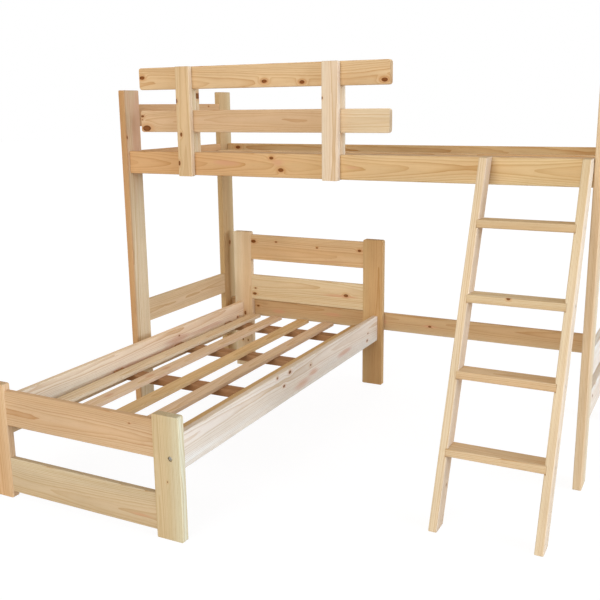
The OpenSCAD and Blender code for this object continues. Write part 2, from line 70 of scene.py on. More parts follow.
# %% Camera
EYE = Vector((1.5347, -3.2555, 1.5404))
YAW = math.radians(27.08)       # to the left of the +Y axis
PITCH = math.radians(-13.1)     # below the horizon
ROLL = math.radians(-0.63)
LENS = 49.78                    # mm
SENSOR_WIDTH = 36               # mm
FARTHEST = 200                  # metres, well past the edge of the floor

camera_data = bpy.data.cameras.new("camera")
camera = bpy.data.objects.new("camera", camera_data)
bpy.context.scene.collection.objects.link(camera)
turn = Matrix.Rotation(YAW, 4, "Z") @ Matrix.Rotation(math.radians(90) + PITCH, 4, "X")
camera.matrix_world = Matrix.Translation(EYE) @ turn @ Matrix.Rotation(ROLL, 4, "Z")
camera_data.lens = LENS
camera_data.sensor_width = SENSOR_WIDTH
camera_data.clip_end = FARTHEST
bpy.context.scene.camera = camera
print("camera at", [round(c, 3) for c in EYE], "lens", LENS, "mm")

# %% [markdown]
# ## Writing shader maths as Python
#
# A pattern such as a growth ring is a formula, and a formula is easier to read as text than as
# a web of nodes. This small class holds one output of one node. Adding, multiplying or
# comparing two of them builds the Math node that does it, so the formula below is what runs.

# %% A socket that does arithmetic
class Field:
    """One value that varies over a surface: a node's output, with Python's operators."""

    def __init__(self, tree, socket):
        self.tree = tree
        self.socket = socket

    def node(self, kind, settings, **values):
        """Any other node: its settings come first, then the values or links of its sockets."""
        made = self.tree.nodes.new(kind)
        for name, value in settings.items():
            setattr(made, name, value)
        for name, value in values.items():
            feed(self.tree, made.inputs[name.replace("_", " ")], value)
        return made

    def out(self, made, name=0):
        """One output of a node, by its name or number."""
        return Field(self.tree, made.outputs[name])

    def math(self, operation, *values):
        """A Math node on this value and others."""
        made = self.node("ShaderNodeMath", {"operation": operation})
        for socket, value in zip(made.inputs, values):
            feed(self.tree, socket, value)
        return Field(self.tree, made.outputs[0])

    def __add__(self, other):
        return self.math("ADD", self, other)

    def __radd__(self, other):
        return self.math("ADD", other, self)

    def __sub__(self, other):
        return self.math("SUBTRACT", self, other)

    def __rsub__(self, other):
        return self.math("SUBTRACT", other, self)

    def __mul__(self, other):
        return self.math("MULTIPLY", self, other)

    def __rmul__(self, other):
        return self.math("MULTIPLY", other, self)

    def __truediv__(self, other):
        return self.math("DIVIDE", self, other)

    def __rtruediv__(self, other):
        return self.math("DIVIDE", other, self)

    def __pow__(self, other):
        return self.math("POWER", self, other)

    def __rpow__(self, other):
        return self.math("POWER", other, self)

    def __gt__(self, other):
        return self.math("GREATER_THAN", self, other)

    def __lt__(self, other):
        return self.math("LESS_THAN", self, other)

    def __abs__(self):
        return self.math("ABSOLUTE", self)

    def fract(self):
        return self.math("FRACT", self)

    def floor(self):
        return self.math("FLOOR", self)

    def root(self):
        return self.math("SQRT", self)

    def exp(self):
        return self.math("EXPONENT", self)

    def smaller(self, other):
        return self.math("MINIMUM", self, other)

    def ramp(self, low, high, to_low=0.0, to_high=1.0):
        """A smooth step from to_low to to_high while this value goes from low to high."""
        made = self.node("ShaderNodeMapRange", {"interpolation_type": "SMOOTHSTEP"},
                         Value=self, From_Min=low, From_Max=high, To_Min=to_low, To_Max=to_high)
        return self.out(made)

    def mixed(self, colour_a, colour_b):
        """colour_a where this value is 0, colour_b where it is 1."""
        made = self.node("ShaderNodeMix", {"data_type": "RGBA"})
        feed(self.tree, made.inputs["Factor"], self)
        colour_inputs = [s for s in made.inputs if s.type == "RGBA"]
        feed(self.tree, colour_inputs[0], colour_a)
        feed(self.tree, colour_inputs[1], colour_b)
        return Field(self.tree, [s for s in made.outputs if s.type == "RGBA"][0])

    def vector(self, operation, other=None):
        """A Vector Math node on this vector or colour, and on another where it takes two."""
        made = self.node("ShaderNodeVectorMath", {"operation": operation})
        feed(self.tree, made.inputs[0], self)
        if other is not None:
            feed(self.tree, made.inputs[1], other)
        return Field(self.tree, made.outputs["Value" if operation == "LENGTH" else "Vector"])

    def scaled(self, by):
        """This vector or colour, times a plain value."""
        made = self.node("ShaderNodeVectorMath", {"operation": "SCALE"}, Scale=by)
        feed(self.tree, made.inputs[0], self)
        return self.out(made, "Vector")

    def parts(self):
        """This vector's X, Y and Z."""
        made = self.node("ShaderNodeSeparateXYZ", {}, Vector=self)
        return [Field(self.tree, s) for s in made.outputs]

    def noise(self, stretch, detail=2.0, roughness=0.5):
        """Smooth noise about 0.5, with so many features a metre along each local direction."""
        stretched = self.vector("MULTIPLY", stretch)
        made = self.node("ShaderNodeTexNoise", {"noise_dimensions": "3D"}, Vector=stretched,
                         Scale=1.0, Detail=detail, Roughness=roughness)
        return self.out(made)


def feed(tree, socket, value):
    """Link a field to a socket, or set the socket to a plain value."""
    if isinstance(value, Field):
        tree.links.new(value.socket, socket)
    else:
        socket.default_value = value


print("besides its operators a field has", ", ".join(name for name in vars(Field) if name[0] != "_"))

# %% [markdown]
# ## Colours as they look
#
# A colour is easiest to judge as a screen shows it, in numbers from 0 to 255. The renderer adds
# up light instead, and a fixed curve leads from one to the other: straight near black, and a
# power above. The colours of wood and steel below are written as they look.

# %% Colours as they look
def linear(red, green, blue):
    """A colour as it is seen on screen, 0 to 255, as the renderer's own numbers."""
    def light(shown):
        share = shown / 255
        return share / 12.92 if share <= 0.04045 else ((share + 0.055) / 1.055) ** 2.4
    return (light(red), light(green), light(blue), 1.0)


print("mid grey on screen is", round(linear(128, 128, 128)[0], 3), "to the renderer")

# %% [markdown]
# ## Where a board was in its log
#
# Pine is a solid pattern. Every year the trunk gains a shell of pale early wood that ends in a
# thin dark line of late wood. A saw then cuts a board out of those shells, and arches, straight
# lines or end rings appear by themselves, as long as the pattern is worked out in space and not
# painted on. So each board needs a direction of grain and a place for the log's heart.
#
# A Mapping node of type Texture undoes a move and a turn, which leaves coordinates measured
# from the board's middle: along the grain, across the broad face, and through the thickness.

# %% Local coordinates of a board
LEAN = math.radians(21.2)       # of the ladder's stiles
STILE_DEPTH = 0.078             # of a stile, square to its grain
SLAT_WIDTH = 0.068

# Slats lie five to a node: their middles, measured across them from the middle of the five
loft_slat_reach = (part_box("loft_slats")[1].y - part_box("loft_slats")[0].y - SLAT_WIDTH) / 2
SLAT_MIDDLES = {"loft_slats": [loft_slat_reach * step / 2 for step in (-2, -1, 0, 1, 2)],
                "bed_slats": [-0.331, -0.187, -0.009, 0.149, 0.331]}


def board_frame(node):
    """A board's middle, its turn and its sizes along the grain, across it and through it."""
    low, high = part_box(node)
    middle = (low + high) / 2
    size = high - low
    if "stile" in node:
        along = Vector((0, math.sin(LEAN), math.cos(LEAN)))
        across = Vector((0, math.cos(LEAN), -math.sin(LEAN)))
        return middle, axes_turn(along, across), (size.z / math.cos(LEAN), STILE_DEPTH, size.x)
    order = sorted(range(3), key=lambda k: -size[k])
    along, across = (Vector([1.0 if k == order[i] else 0.0 for k in range(3)]) for i in (0, 1))
    return middle, axes_turn(along, across), tuple(size[k] for k in order)


def axes_turn(along, across):
    """The turn that lays X along the grain, Y across it and Z through the board."""
    return Matrix((along, across, along.cross(across))).transposed().to_euler()


print("front rail runs", [round(s, 3) for s in board_frame("front_rail")[2]])

# %% [markdown]
# ## A board's own space
#
# The slats of a bed lie five to a node, yet five boards were sawn for them. So the space is cut
# at the gaps between them: each slat's middle is taken off the coordinate across, and the
# coordinate along jumps by some metres from slat to slat, which lands each in another part of
# the log. Their tones change at the same cuts.

# %% A board's own space
SLAT_JUMP = 7.3                 # metres along the log, from one slat to the next
# How light each of the five slats is
SLAT_LEVELS = {"bed_slats": (1.05, 1.02, 1.04, 1.01, 1.00), "loft_slats": (0.92, 0.98, 1.04, 0.94, 1.00)}


class Space:
    """A board's coordinates from its middle: along its grain, across it and through it."""

    def __init__(self, tree, node):
        middle, turn, self.size = board_frame(node)
        self.start = Field(tree, None)      # it has no socket yet, and makes the first nodes
        self.object = self.start.out(self.start.node("ShaderNodeTexCoord", {}), "Object")
        self.local = self.start.out(self.start.node("ShaderNodeMapping", {"vector_type": "TEXTURE"},
                                                    Vector=self.object, Location=middle, Rotation=turn))
        self.along, self.across, self.through = self.local.parts()
        self.from_middle = self.along
        self.gaps_passed = []
        self.level = None
        if node in SLAT_MIDDLES:
            self.part_slats(SLAT_MIDDLES[node], SLAT_LEVELS[node])

    def part_slats(self, middles, levels):
        """Give each slat its own middle, its own stretch of the log and its own level."""
        number = 0.0
        middle_across = middles[0]
        self.level = levels[0]
        for slat in range(1, len(middles)):
            passed = self.across > (middles[slat - 1] + middles[slat]) / 2
            number = passed + number
            middle_across = passed * (middles[slat] - middles[slat - 1]) + middle_across
            self.level = passed * (levels[slat] - levels[slat - 1]) + self.level
            self.gaps_passed.append(passed)
        self.across = self.across - middle_across
        self.along = self.along + number * SLAT_JUMP
        self.local = self.start.out(self.start.node("ShaderNodeCombineXYZ", {}, X=self.along, Y=self.across,
                                                    Z=self.through))


print("slats are parted in", len(SLAT_MIDDLES), "nodes")

# %% [markdown]
# ## A board's place in its log
#
# The distance from the log's heart, divided by the width of a year, counts the rings. Rings that
# are true circles look drawn, so slow noise bends the heart line and a quicker one ripples each
# ring. A trunk also tapers, which makes the arches on a flat face. The taper turns over
# somewhere, so that arches point both ways from there.

# %% A board's place in its log
HEART_ACROSS = 0.45             # the heart's furthest place across a board, in board widths
HEART_BEHIND = (0.030, 0.085)   # the heart's depth behind the board's middle
YEAR_WIDTH = (0.0036, 0.0062)
TAPER = (0.006, 0.016)          # how fast the trunk narrows
CROWN_REACH = 0.9               # the furthest place where the taper turns over
CROWN_LENGTH = 0.10             # and the length that it takes
LOG_LENGTH = 40                 # the noise is read from anywhere in such a log
LOG_WIDTH = 9
HEART_BEND = 0.050              # metres by which the heart line wanders
RING_RIPPLE = 0.0045
# Features a metre along the grain, across it and through it
WANDER_GRAIN = (1.1, 4.0, 4.0)
RIPPLE_GRAIN = (5.0, 26.0, 26.0)
# The cuts that these boards' faces show: the heart's place across and behind the board, the width
# of a year, the taper, and where it turns over
SEEN_CUTS = {
    "front_rail": (0.004, -0.042, 0.0060, -0.030, 0.62),
    "post_front_left": (-0.050, 0.075, 0.0046, 0.008, 0.50),
}


class Log:
    """One board's log: how far each point lies from its heart, and the noise that bends it."""

    def __init__(self, node, space, chance):
        heart_across = chance.uniform(-HEART_ACROSS, HEART_ACROSS) * space.size[1]
        heart_depth = -chance.uniform(*HEART_BEHIND)
        self.year = chance.uniform(*YEAR_WIDTH)
        taper = chance.uniform(*TAPER) * chance.choice((-1, 1))
        crown = chance.uniform(-CROWN_REACH, CROWN_REACH)
        if node in SEEN_CUTS:
            heart_across, heart_depth, self.year, taper, crown = SEEN_CUTS[node]
        drift = Vector([chance.uniform(0, reach) for reach in (LOG_LENGTH, LOG_WIDTH, LOG_WIDTH)])
        self.place = space.local.vector("ADD", drift)
        self.wander = self.place.noise(WANDER_GRAIN, detail=1.0) - 0.5
        self.ripple = self.place.noise(RIPPLE_GRAIN, detail=2.0) - 0.5
        off_across = space.across - heart_across + self.wander * HEART_BEND
        off_depth = space.through - heart_depth
        past_crown = space.along - crown
        rise = (past_crown * past_crown + CROWN_LENGTH ** 2).root() * taper
        from_heart = (off_across * off_across + off_depth * off_depth).root()
        self.distance = from_heart + rise + self.ripple * RING_RIPPLE


print("a year is", YEAR_WIDTH[0] * 1000, "to", YEAR_WIDTH[1] * 1000, "mm wide")

# %% [markdown]
# ## The knots
#
# A knot is where a branch left the trunk. The wood around it swerves aside, darkens and
# reddens, and the branch itself shows as a small brown eye, longer along the grain, with rings
# of its own. The eyes that the photograph shows are placed on their own boards, from each
# board's middle: metres toward +X, +Y or up along the board, metres across it, and the radius.
# Boards whose faces it doesn't show get a few of their own from a seeded draw, so that each run
# is the same.

# %% Knots seen in the photograph
SEEN_KNOTS = {
    "guard_board_top": [(-0.622, 0.006, 0.0080), (0.045, -0.025, 0.0085), (0.233, -0.032, 0.0075),
                        (0.615, -0.031, 0.0085)],
    "guard_board_middle": [(-0.608, -0.032, 0.013), (-0.631, 0.024, 0.006), (-0.633, 0.007, 0.003)],
    "front_rail": [(-0.297, 0.034, 0.007), (-0.249, -0.018, 0.009)],
    "guard_front_upright_left": [(0.096, -0.034, 0.006), (-0.057, -0.014, 0.006), (-0.190, -0.032, 0.007)],
    "guard_front_upright_right": [(0.100, -0.034, 0.004)],
    "guard_rear_upright_left": [(0.104, 0.037, 0.007)],
    "end_guard_left": [(0.260, 0.040, 0.004)],
    "back_rail": [(-1.020, 0.032, 0.009)],
    "post_back_left": [(-0.063, 0.008, 0.008)],
    "post_front_left": [(0.590, -0.050, 0.004)],
    "head_board_top": [(-0.341, 0.034, 0.009), (-0.190, 0.040, 0.004), (0.075, 0.022, 0.004),
                       (0.337, 0.023, 0.007)],
    "head_board_middle": [(-0.334, -0.006, 0.005), (-0.340, -0.040, 0.008), (0.255, 0.002, 0.008)],
    "side_rail_right": [(-0.095, 0.054, 0.0075), (-0.152, 0.006, 0.0055), (0.115, 0.028, 0.0050),
                        (-0.212, 0.060, 0.0055), (0.810, -0.034, 0.0060), (0.821, 0.004, 0.0045)],
    "foot_board_top": [(0.256, 0.042, 0.003)],
    "foot_post_right": [(-0.012, 0.000, 0.003)],
    "ladder_rung_3": [(-0.025, -0.040, 0.0045)],
    "side_rail_left": [(0.887, -0.010, 0.006), (0.287, 0.026, 0.004)],
    "back_stretcher": [(0.170, 0.000, 0.005), (-0.908, 0.012, 0.006)],
    "ladder_rung_4": [(0.120, 0.020, 0.004)],
    "ladder_stile_left": [(-0.560, 0.010, 0.004)],
}
# Boards that the photograph shows without a knot
CLEAR_BOARDS = ("foot_board_low", "foot_post_left", "ladder_stile_right", "ladder_rung_1", "ladder_rung_2",
                "post_front_right", "head_post_right", "end_rail_left", "end_stretcher_left")
print("knots placed by eye:", sum(len(group) for group in SEEN_KNOTS.values()))

# %% [markdown]
# One number per point says how near a knot is, counted in that knot's own radii, and the nearest
# knot wins. A second one, a bell shape that is wider than the eye, is added to the distance from
# the heart. The rings then flow round the eye as round a stone in a stream.

# %% Knots as fields
EYE_ALONG = 0.58                # an eye is 1 / 0.58 times as long along the grain
KNOT_ENDS = 0.14                # a knot runs right through its board, and narrows this slowly
# This knot shows on one edge only: the depth of its middle, and how fast it ends there
EDGE_KNOTS = {"ladder_rung_3": (0.0150, 0.70)}
SWELL = (0.30, 0.55, 0.10)      # the bell's reach, as EYE_ALONG: along, across and through
SWELL_HEIGHT = 1.5              # in radii
DRAWN_RADIUS = (0.004, 0.009)
DRAWN_REACH = (0.44, 0.36)      # how far out drawn knots lie, in board lengths and widths


def knots_of(node, size, chance):
    """The seen knots of a board, or up to three drawn for it."""
    if node in SEEN_KNOTS or node in CLEAR_BOARDS:
        return SEEN_KNOTS.get(node, [])
    most = 1 if "slat" in node or "rung" in node else 3
    reach_along, reach_across = (size[k] * DRAWN_REACH[k] for k in (0, 1))
    return [(chance.uniform(-reach_along, reach_along), chance.uniform(-reach_across, reach_across),
             chance.uniform(*DRAWN_RADIUS)) for _ in range(chance.randint(0, most))]


def knot_fields(node, space, chance):
    """How near the nearest knot is, in its radii, and the swell round all of them."""
    nearest = None
    swell = None
    depth, ends = EDGE_KNOTS.get(node, (0.0, KNOT_ENDS))
    for knot_along, knot_across, radius in knots_of(node, space.size, chance):
        off = space.local.vector("SUBTRACT", (knot_along, knot_across, depth))
        scaled = off.vector("MULTIPLY", (EYE_ALONG / radius, 1.0 / radius, ends / radius)).vector("LENGTH")
        spread = off.vector("MULTIPLY", [reach / radius for reach in SWELL]).vector("LENGTH")
        lift = (spread * spread * -1.0).exp() * (SWELL_HEIGHT * radius)
        nearest = scaled if nearest is None else nearest.smaller(scaled)
        swell = lift if swell is None else swell + lift
    return nearest, swell


print("a knot of 5 mm radius lifts the rings by", SWELL_HEIGHT * 5, "mm")

# %% [markdown]
# ## Rings, fibres and eyes
#
# Within a year the wood darkens slowly and ends in a sharp dark line, so a power of the count's
# fraction gives its colour, and no two years are equally dark. Wood near the heart is browner.
# On top come short fibres along the grain and the fine dark lines of resin canals, both of them
# noise that is stretched a lot. Each is laid over the last by a share of its own.

# %% Pine's colours
EARLY_WOOD = linear(225, 193, 149)
LATE_WOOD = linear(190, 138, 82)
STREAK_WOOD = linear(212, 171, 122)
HEART_WOOD = linear(213, 163, 112)
KNOT_WOOD = linear(140, 84, 44)
KNOT_RING = linear(78, 40, 20)
RED_HALO = linear(202, 140, 84)
FIBRE_DARK = linear(176, 126, 78)

LATE_SHARPNESS = 3.0
GOLDEN = 0.618                  # steps of this fraction never repeat
RING_VARIETY = 0.6
HEART_ZONE = (0.02, 0.11)       # metres from the heart over which its brown fades
# Shares of the colours that are laid over the early wood
HEART_SHARE = 0.75
STREAK_SHARE = 0.55
RING_SHARE = 0.95
FIBRE_SHARE = 0.28
CANAL_SHARE = 0.30
# Features a metre along the grain, across it and through it
STREAK_GRAIN = (0.7, 24.0, 24.0)
FIBRE_GRAIN = (9.0, 520.0, 520.0)
CANAL_GRAIN = (34.0, 900.0, 900.0)
# The levels of that noise between which each fades in
STREAK_LEVELS = (0.42, 0.68)
FIBRE_LEVELS = (0.45, 0.80)
CANAL_LEVELS = (0.70, 0.80)


class Figure:
    """The figure of one board's wood: its rings, fibres and canals, and the colour they give."""

    def __init__(self, log):
        count = log.distance / log.year
        late = count.fract() ** LATE_SHARPNESS
        vigour = (count.floor() * GOLDEN).fract() * RING_VARIETY + (1 - RING_VARIETY)
        self.ring = late * vigour
        self.fibre = log.place.noise(FIBRE_GRAIN, detail=3.0, roughness=0.65)
        self.canal = log.place.noise(CANAL_GRAIN, detail=0.0).ramp(*CANAL_LEVELS)
        streak = log.place.noise(STREAK_GRAIN, detail=2.0).ramp(*STREAK_LEVELS)
        colour = log.distance.ramp(*HEART_ZONE, HEART_SHARE, 0.0).mixed(EARLY_WOOD, HEART_WOOD)
        colour = (streak * STREAK_SHARE).mixed(colour, STREAK_WOOD)
        colour = (self.ring * RING_SHARE).mixed(colour, LATE_WOOD)
        colour = (self.fibre.ramp(*FIBRE_LEVELS) * FIBRE_SHARE).mixed(colour, FIBRE_DARK)
        self.colour = (self.canal * CANAL_SHARE).mixed(colour, FIBRE_DARK)


print("late wood covers up to", RING_SHARE, "of the early wood")

# %% [markdown]
# An eye is brown with fine rings, and has a dark rim that is broken here and there. Round it lies
# a red halo. All of them are steps in the distance from the knot, which a little of the rings'
# ripple makes uneven, because a branch is never quite round.

# %% The eyes of the knots
EYE_EDGE = (0.85, 1.15)         # in radii
RIM = (0.45, 0.95)
HALO = (0.8, 2.6)
HALO_SHARE = 0.60
EYE_UNEVEN = 0.9
EYE_RINGS = 3.3                 # a radius
EYE_RING_SHARPNESS = 2.0
EYE_RING_SHARE = 0.25
RIM_SHARE = 0.75
RIM_BREAKS = (70.0, 70.0, 70.0)     # features a metre
BREAK_LEVELS = (0.40, 0.60)     # of their noise, between which the rim comes back
RIM_LEAST = 0.25                # what is left of the rim where it is broken


def add_eyes(figure, log, space, nearest):
    """Lay the knots over the figure, and return the masks of the eyes and of their rims."""
    uneven = nearest + log.ripple * EYE_UNEVEN
    halo = uneven.ramp(*HALO, HALO_SHARE, 0.0)
    eye = uneven.ramp(*EYE_EDGE, 1.0, 0.0)
    eye_rings = (uneven * EYE_RINGS).fract() ** EYE_RING_SHARPNESS
    broken = space.local.noise(RIM_BREAKS, detail=0.0).ramp(*BREAK_LEVELS, RIM_LEAST, 1.0)
    rim = uneven.ramp(*RIM) * eye * broken
    eye_colour = (eye_rings * EYE_RING_SHARE + rim * RIM_SHARE).mixed(KNOT_WOOD, KNOT_RING)
    figure.colour = eye.mixed(halo.mixed(figure.colour, RED_HALO), eye_colour)
    return eye, rim


print("an eye's halo ends at", HALO[1], "radii")

# %% [markdown]
# ## A tone for each board
#
# Boards come from different trees, and no two are alike. A tone is a factor on red, green and
# blue, so rings and fibres stay as they are under it. The boards that the photograph shows get
# the tone that they have there, and the others draw theirs from a few middling ones. Some of
# those tones hold light and shade: painted light whitens the boards whose right-hand faces take
# the window's light and sheen, and painted shade darkens the bearers, the back rail and the back
# left post.

# %% Tones
TONES = {
    "umber": (0.62, 0.52, 0.48),
    "olive": (0.78, 0.85, 0.82),
    "hay": (0.85, 0.86, 0.78),
    "fawn": (0.86, 0.93, 0.98),
    "brown": (0.79, 0.70, 0.60),
    "tan": (0.92, 0.93, 0.98),
    "honey": (0.97, 0.98, 0.96),
    "rosy": (0.99, 1.00, 1.03),
    "wheat": (1.05, 1.22, 1.26),
    "shell": (1.15, 1.42, 1.88),
    "straw": (1.00, 1.17, 1.31),
    "amber": (1.00, 1.09, 1.18),
    "corn": (1.01, 1.12, 1.14),
    "buff": (0.95, 1.01, 1.12),
    "ash": (0.88, 1.04, 1.20),
    "reed": (0.95, 1.24, 1.48),
    "pale": (1.09, 1.33, 1.64),
    "cream": (1.11, 1.36, 1.74),
    "linen": (1.12, 1.44, 2.00),
    "pearl": (1.32, 1.56, 1.98),
    "milk": (1.12, 1.50, 2.25),
}
DRAWN_TONES = ("honey", "tan", "straw", "rosy")
SEEN_TONES = {
    # umber darkens the bearers: painted shade, for the shade under the slats
    "umber": ("bed_bearer_1", "bed_bearer_2", "bed_bearer_3", "bed_bearer_4"),
    # olive darkens the back left post: painted shade, for the shade it stands in
    "olive": ("post_back_left",),
    "brown": ("end_guard_left", "end_rail_left", "post_front_left"),
    # hay on the back rail is painted shade, for the shade on its front face
    "hay": ("head_post_right", "back_rail"),
    "fawn": ("back_stretcher",),
    "tan": ("foot_board_top",),
    "buff": ("guard_board_middle",),
    "amber": ("ladder_rung_1", "ladder_rung_2"),
    "honey": ("guard_board_top", "front_rail", "head_board_top", "loft_slats"),
    "straw": ("guard_front_upright_left", "guard_rear_upright_left", "guard_spacer_low_left",
              "guard_spacer_high_left", "head_board_middle", "ladder_rung_3", "ladder_rung_4",
              "end_stretcher_left"),
    "ash": ("foot_board_low",),
    # reed, and pale on the stiles, the front right post and the right rear upright and spacers, are painted
    # light: paler and bluer for the window's light and sheen on their right-hand faces
    "reed": ("foot_post_right",),
    "pale": ("ladder_stile_left", "ladder_stile_right", "post_front_right", "head_post_left",
             "guard_rear_upright_right", "guard_spacer_low_right", "guard_spacer_high_right",
             "bed_slats"),
    # cream, linen and milk are painted light too: whitened for the window's light and sheen on the faces
    # that take it
    "cream": ("side_rail_left",),
    "linen": ("guard_front_upright_right",),
    "milk": ("side_rail_right", "end_stretcher_right", "end_low_board_right"),
}
tone_of = {node: tone for tone, names in SEEN_TONES.items() for node in names}
print(len(TONES), "tones,", len(tone_of), "boards with a tone from the photograph")

# %% [markdown]
# Sapwood is paler than the wood further in, so a board can be paler toward one end, and a
# second tone fades in there. A paler tone on one face is painted light instead: the stiles', the
# left front upright's and the front left post's right-hand faces are whitened for the window's
# light. The slats of one node are five boards, and change tone at the gaps between them. A slow
# mottle goes over all boards.

# %% Boards that change tone
ALONG, ACROSS, THROUGH = 0, 1, 2
# The other tone, the way it changes, and where it starts and ends, in board sizes from the middle
SECOND_TONES = {
    "front_rail": [("corn", ALONG, -0.35, 0.10), ("wheat", ALONG, 0.26, 0.40)],
    "guard_board_middle": [("pale", ALONG, 0.20, 0.42)],
    # painted light: paler on its right-hand face, for the window's light
    "guard_front_upright_left": [("pale", ACROSS, 0.43, 0.49)],
    # painted light: linen whitens the stiles' right-hand faces, for the window's light
    "ladder_stile_left": [("linen", THROUGH, -0.36, -0.49)],
    "ladder_stile_right": [("straw", ALONG, 0.05, 0.45), ("linen", THROUGH, -0.36, -0.49)],
    # painted light: straw everywhere but the front face, for the window's light on the right-hand face
    "post_front_left": [("straw", ACROSS, -0.49, -0.32)],
    "side_rail_left": [("pearl", ALONG, -0.30, 0.05)],
}
# The second to fifth slat's tones
SLAT_TONES = {"bed_slats": ("shell", "wheat", "shell", "wheat"),
              "loft_slats": ("tan", "honey", "tan", "honey")}
OPAQUE = (1.0,)                 # a colour's fourth number
MOTTLE_GRAIN = (2.2, 9.0, 9.0)  # features a metre: along, across and through
MOTTLE_SPAN = (0.2, 0.8)        # of its noise
MOTTLE_LEVELS = (0.93, 1.05)    # how light the wood is at the two ends of the span


def tone_field(node, space, log, drawn_tone):
    """The board's tone as a colour, with its changes, a slow mottle and the slats' own levels."""
    red, green, blue = TONES[tone_of.get(node, drawn_tone)]
    tint = space.start.out(space.start.node("ShaderNodeCombineXYZ", {}, X=red, Y=green, Z=blue))
    for second, way, low, high in SECOND_TONES.get(node, []):
        place = (space.from_middle, space.across, space.through)[way]
        changed = place.ramp(space.size[way] * low, space.size[way] * high)
        tint = changed.mixed(tint, TONES[second] + OPAQUE)
    for passed, slat_tone in zip(space.gaps_passed, SLAT_TONES.get(node, ())):
        tint = passed.mixed(tint, TONES[slat_tone] + OPAQUE)
    mottle = log.place.noise(MOTTLE_GRAIN, detail=3.0, roughness=0.6)
    level = mottle.ramp(*MOTTLE_SPAN, *MOTTLE_LEVELS)
    if space.level is not None:
        level = level * space.level
    return tint.scaled(level)


print("second tones on", len(SECOND_TONES), "boards")

# %% [markdown]
# ## Reddish streaks
#
# Some boards have soft reddish streaks where resin has gathered. Each is a stretched ball of
# distance whose edge the log's own noise breaks up, so that it runs with the grain. It lies over
# the tone and leaves the knots clear.

# %% Reddish streaks
BLUSH_WOOD = linear(207, 153, 118)
BLUSH_SHARE = 0.60
BLUSH_FADE = (0.3, 1.3)         # in half lengths or widths
BLUSH_DEPTH = 8.0               # it ends an eighth of a metre through the board
BLUSH_WANDER = 2.0
BLUSH_RIPPLE = 1.5
# Along the board and across it from its middle, half its length and half its width
SEEN_BLUSHES = {
    "side_rail_left": [(-0.02, -0.026, 0.34, 0.017), (0.27, 0.006, 0.13, 0.026),
                       (0.58, 0.002, 0.30, 0.015)],
    "side_rail_right": [(0.02, -0.036, 0.08, 0.022), (0.145, -0.012, 0.055, 0.016),
                        (0.51, -0.014, 0.08, 0.012)],
    "front_rail": [(-0.265, 0.010, 0.040, 0.024), (-0.545, 0.007, 0.080, 0.018),
                   (0.100, 0.0, 0.060, 0.012)],
    "foot_board_low": [(0.29, -0.030, 0.07, 0.008)],
    "back_stretcher": [(-0.11, 0.0, 0.05, 0.020), (0.17, 0.0, 0.05, 0.008), (-0.41, 0.010, 0.06, 0.012),
                       (-0.77, -0.008, 0.04, 0.011)],
    "head_board_middle": [(0.23, -0.004, 0.10, 0.007)],
    "head_board_top": [(0.16, -0.050, 0.12, 0.008)],
    "post_front_left": [(0.62, 0.020, 0.30, 0.090)],
    # These three lie on the second slat only
    "bed_slats": [(SLAT_JUMP + place, 0.0, 0.030, 0.012) for place in (-0.575, -0.279, -0.151)],
}


def add_blushes(node, colour, space, log, eye):
    """Lay the reddish streaks over a colour, but not over the eyes of knots."""
    for blush_along, blush_across, half_length, half_width in SEEN_BLUSHES.get(node, []):
        off = space.local.vector("SUBTRACT", (blush_along, blush_across, 0.0))
        spread = off.vector("MULTIPLY", (1 / half_length, 1 / half_width, BLUSH_DEPTH)).vector("LENGTH")
        broken = spread + log.wander * BLUSH_WANDER + log.ripple * BLUSH_RIPPLE
        blush = broken.ramp(*BLUSH_FADE, BLUSH_SHARE, 0.0)
        if eye is not None:
            blush = blush * (1.0 - eye)
        colour = blush.mixed(colour, BLUSH_WOOD)
    return colour


print("reddish streaks:", sum(len(group) for group in SEEN_BLUSHES.values()))

# %% [markdown]
# ## Pine on every board
#
# Now the pieces come together as one material a board, which reads the board's own coordinates
# and so wraps round all its faces as solid wood does. The two sawn ends are darker and rougher,
# because a saw tears the grain there. Late wood is harder and planes smoother, and the fibres
# give the bump. Bare planed pine hardly shines, so its specular level is close to none.

# %% One board's material
FIRST_SEED = 1000
END_SKIN = 0.0012               # how deep the end grain's shade goes in
END_LEVEL = 0.80
EARLY_ROUGH = 0.76
LATE_ROUGH = 0.66
FIBRE_ROUGHER = 0.08            # than the wood between them
END_ROUGHER = 0.12
EYE_SMOOTHER = 0.08
PINE_SHINE = 0.015
BUMP_STRENGTH = 0.35
BUMP_HEIGHT = 0.0006
# How far each stands out of the face, or lies in it, as shares of the bump's height
FIBRE_RISE = 0.5
RING_RISE = 0.6
CANAL_SINK = 0.4
RIM_SINK = 0.8


def sawn_ends(node, space):
    """1 on the two sawn ends, 0 elsewhere. The stiles' ends are level with the floor."""
    if "stile" in node:
        half = space.size[0] * math.cos(LEAN) / 2
        return abs(space.object.parts()[2] - half).ramp(half - END_SKIN, half - END_SKIN / 2)
    half = space.size[0] / 2
    return abs(space.from_middle).ramp(half - END_SKIN, half - END_SKIN / 2)


